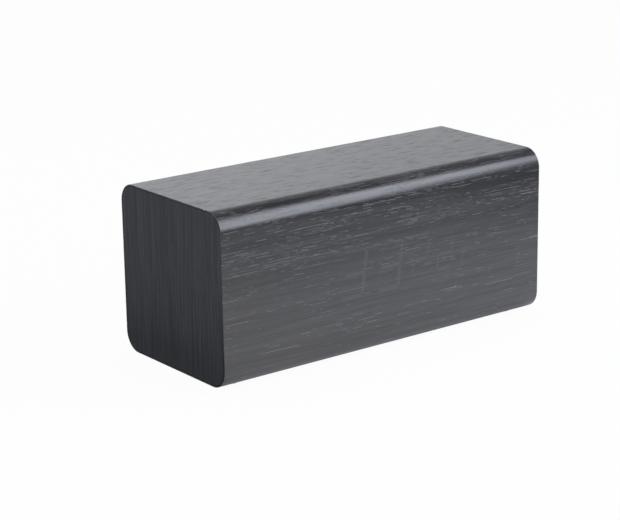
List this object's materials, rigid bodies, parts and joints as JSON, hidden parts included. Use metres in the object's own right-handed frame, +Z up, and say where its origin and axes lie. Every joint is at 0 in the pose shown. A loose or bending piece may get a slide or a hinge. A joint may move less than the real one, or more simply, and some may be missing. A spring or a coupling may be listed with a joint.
{
  "type": "digital alarm clock",
  "caption": "Table alarm clock: a round-edged wooden block in dark veneer, a segment display behind its front, and buttons, switch, socket and battery door on the rear.",
  "frame": {"origin": "on the table, under the middle of the block", "axes": "+X along the block to the right as its front is seen, -Y out of the front face, +Z up"},
  "size_m": [0.21, 0.089, 0.0911],
  "materials": {
    "veneer": "black-stained open-grain veneer, satin lacquer",
    "fibreboard": "raw fibreboard",
    "pad": "matt foam rubber",
    "film": "milky diffuser film",
    "mask": "matt moulded plastic",
    "circuit": "green lacquered circuit board",
    "steel": "zinc-plated steel",
    "chip": "moulded black plastic",
    "back_plastic": "fine-textured black plastic",
    "key_plastic": "satin dark plastic",
    "cell_jacket": "metallic film jacket",
    "contact": "nickel-plated spring steel",
    "capacitor_sleeve": "shrunk sleeve",
    "ribbon": "flat cable jacket",
    "red_lead": "wire jacket",
    "black_lead": "wire jacket"
  },
  "bodies": {
    "block": {"veneer_wrap": "veneer", "left_end_veneer": "veneer", "right_end_veneer": "veneer", "top_board": "fibreboard", "bottom_board": "fibreboard", "front_board": "fibreboard", "rear_board": "fibreboard", "left_end_board": "fibreboard", "right_end_board": "fibreboard", "pad_front_left": "pad", "pad_front_right": "pad", "pad_rear_left": "pad", "pad_rear_right": "pad", "diffuser_film": "film", "segment_mask": "mask", "display_board": "circuit", "driver_chip": "chip", "display_screw_1": "steel", "display_screw_2": "steel", "display_screw_3": "steel", "display_screw_4": "steel", "back_plate": "back_plastic", "plate_screw_1": "steel", "plate_screw_2": "steel", "plate_screw_3": "steel", "plate_screw_4": "steel", "battery_cell_1": "cell_jacket", "battery_cell_2": "cell_jacket", "battery_cell_3": "cell_jacket", "positive_contact": "contact", "negative_contact": "contact", "cell_bridge_left": "contact", "cell_bridge_right": "contact", "main_board": "circuit", "board_screw_1": "steel", "board_screw_2": "steel", "key_switch_up": "chip", "key_switch_down": "chip", "key_switch_set": "chip", "slide_switch_body": "steel", "controller_chip": "chip", "crystal": "steel", "capacitor": "capacitor_sleeve", "buzzer": "chip", "microphone": "steel", "power_socket": "chip", "display_ribbon": "ribbon", "battery_lead_red": "red_lead", "battery_lead_black": "black_lead"},
    "button_up": {"button_cap_up": "key_plastic", "key_plunger_up": "key_plastic"},
    "button_down": {"button_cap_down": "key_plastic", "key_plunger_down": "key_plastic"},
    "button_set": {"button_cap_set": "key_plastic", "key_plunger_set": "key_plastic"},
    "alarm_knob": {"alarm_switch_knob": "key_plastic"},
    "door": {"battery_door": "back_plastic"}
  },
  "joints": [
    {"name": "button_up_press", "type": "slide", "parent": "block", "child": "button_up", "axis": [0, -1, 0], "range_m": [0, 0.0006], "stiffness_N_per_m": 800},
    {"name": "button_down_press", "type": "slide", "parent": "block", "child": "button_down", "axis": [0, -1, 0], "range_m": [0, 0.0006], "stiffness_N_per_m": 800},
    {"name": "button_set_press", "type": "slide", "parent": "block", "child": "button_set", "axis": [0, -1, 0], "range_m": [0, 0.0006], "stiffness_N_per_m": 800},
    {"name": "alarm_switch_slide", "type": "slide", "parent": "block", "child": "alarm_knob", "axis": [1, 0, 0], "range_m": [0, 0.002]},
    {"name": "battery_door_hinge", "type": "hinge", "parent": "block", "child": "door", "pos_m": [0.0285, 0.0425, 0.02855], "axis": [-1, 0, 0], "range_deg": [0, 75]}
  ]
}
